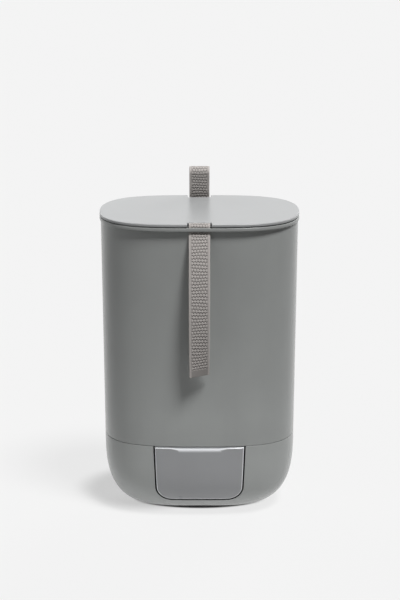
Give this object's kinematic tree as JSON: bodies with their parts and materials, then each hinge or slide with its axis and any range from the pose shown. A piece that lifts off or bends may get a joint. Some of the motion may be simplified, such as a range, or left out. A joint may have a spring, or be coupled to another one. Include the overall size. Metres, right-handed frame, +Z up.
{
  "type": "bokashi bin",
  "caption": "Tall kitchen compost bin with a tapered bucket, notched flat lid, webbing straps, strainer, press, drain tap and pull-out cup.",
  "frame": {"origin": "on the floor under the middle of the base, at the rubber pad's rest face", "axes": "+Z up, front toward -Y, +X to the right seen from the front"},
  "size_m": [0.24, 0.2162, 0.4036],
  "materials": {
    "body_plastic": "satin",
    "lid_plastic": "satin gloss",
    "cup_plastic": "semi-gloss, slightly translucent",
    "bay_plastic": "matte",
    "inner_plastic": "satin",
    "tap_plastic": "satin",
    "key_plastic": "satin",
    "rubber": "matte",
    "steel": "brushed",
    "webbing": "ribbed weave"
  },
  "bodies": {
    "bin": {"foot_pad": "rubber", "base_shell": "body_plastic", "cup_bay": "bay_plastic", "bucket": "body_plastic", "bucket_floor": "body_plastic", "bucket_spigot": "body_plastic", "tap_body": "tap_plastic", "drain_gasket": "rubber", "drain_nut": "tap_plastic", "front_strap_keeper": "bay_plastic", "front_strap_loop": "webbing", "rear_strap_keeper": "bay_plastic", "rear_strap_loop": "webbing"},
    "cup": {"leachate_cup": "cup_plastic"},
    "tap": {"tap_key": "key_plastic", "tap_seals": "rubber", "tap_clip": "steel"},
    "strainer": {"strainer": "inner_plastic"},
    "press": {"press_plate": "inner_plastic", "press_handle": "body_plastic", "press_screws": "steel"},
    "lid": {"lid_cover": "lid_plastic", "lid_plug": "inner_plastic", "lid_seal": "rubber"},
    "front_webbing": {"front_strap": "webbing"},
    "rear_webbing": {"rear_strap": "webbing"}
  },
  "joints": [
    {"name": "lid_lift", "type": "slide", "parent": "bin", "child": "lid", "axis": [0, 0, 1], "range_m": [0, 0.12]},
    {"name": "cup_pull", "type": "slide", "parent": "bin", "child": "cup", "axis": [0, -1, 0], "range_m": [0, 0.13]},
    {"name": "tap_turn", "type": "hinge", "parent": "bin", "child": "tap", "pos_m": [0, -0.02, 0.098], "axis": [0, -1, 0], "range_deg": [0, 90]},
    {"name": "strainer_lift", "type": "slide", "parent": "bin", "child": "strainer", "axis": [0, 0, 1], "range_m": [0, 0.02]},
    {"name": "press_lift", "type": "slide", "parent": "strainer", "child": "press", "axis": [0, 0, 1], "range_m": [0, 0.13]},
    {"name": "front_strap_swing", "type": "hinge", "parent": "bin", "child": "front_webbing", "pos_m": [0, -0.08448, 0.3555], "axis": [-1, 0, 0], "range_deg": [0, 75]},
    {"name": "rear_strap_fold", "type": "hinge", "parent": "bin", "child": "rear_webbing", "pos_m": [0, 0.08448, 0.3665], "axis": [-1, 0, 0], "range_deg": [0, 85]}
  ]
}
